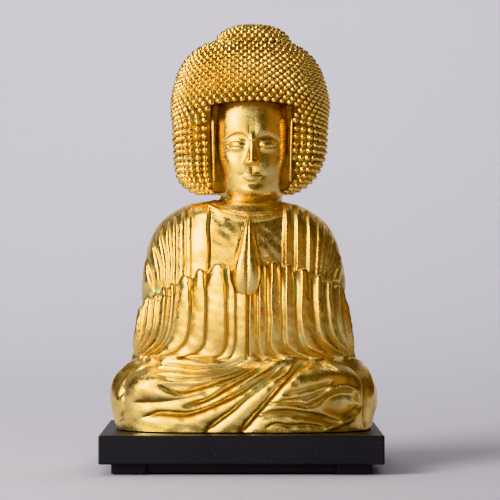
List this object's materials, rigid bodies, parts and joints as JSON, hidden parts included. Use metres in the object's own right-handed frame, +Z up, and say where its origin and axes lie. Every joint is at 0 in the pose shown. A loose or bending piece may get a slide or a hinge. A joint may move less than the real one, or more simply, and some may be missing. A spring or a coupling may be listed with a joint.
{
  "type": "buddha statue",
  "caption": "Seated figure with joined palms and a tall cap of tight curls, gilded, lifting off a low black stand with a recessed apron and square feet.",
  "frame": {"origin": "on the floor under the centre of the stand", "axes": "+Z up, -Y the way the figure faces, +X the right side as someone facing the object sees it"},
  "size_m": [0.08, 0.064, 0.1293],
  "materials": {
    "gold_leaf": "satin",
    "stand_black": "matte",
    "felt": "matte",
    "pin_brass": "satin",
    "dowel_wood": "matte"
  },
  "bodies": {
    "stand": {"stand_slab": "stand_black", "foot_front_left": "stand_black", "foot_front_right": "stand_black", "foot_back_left": "stand_black", "foot_back_right": "stand_black", "apron_front": "stand_black", "apron_back": "stand_black", "apron_left": "stand_black", "apron_right": "stand_black", "felt_pads": "felt", "locating_dowels": "pin_brass"},
    "figure": {"base_felt": "felt", "lap_block": "gold_leaf", "trunk_block": "gold_leaf", "sleeve_left": "gold_leaf", "sleeve_right": "gold_leaf", "hand_left": "gold_leaf", "hand_right": "gold_leaf", "head": "gold_leaf", "hair_cap": "gold_leaf", "topknot": "gold_leaf", "urna_bead": "gold_leaf", "trunk_dowels": "dowel_wood", "sleeve_dowels": "dowel_wood", "wrist_pegs": "dowel_wood"}
  },
  "joints": [
    {"name": "figure_lift", "type": "slide", "parent": "stand", "child": "figure", "axis": [0, 0, 1], "range_m": [0, 0.03]}
  ]
}
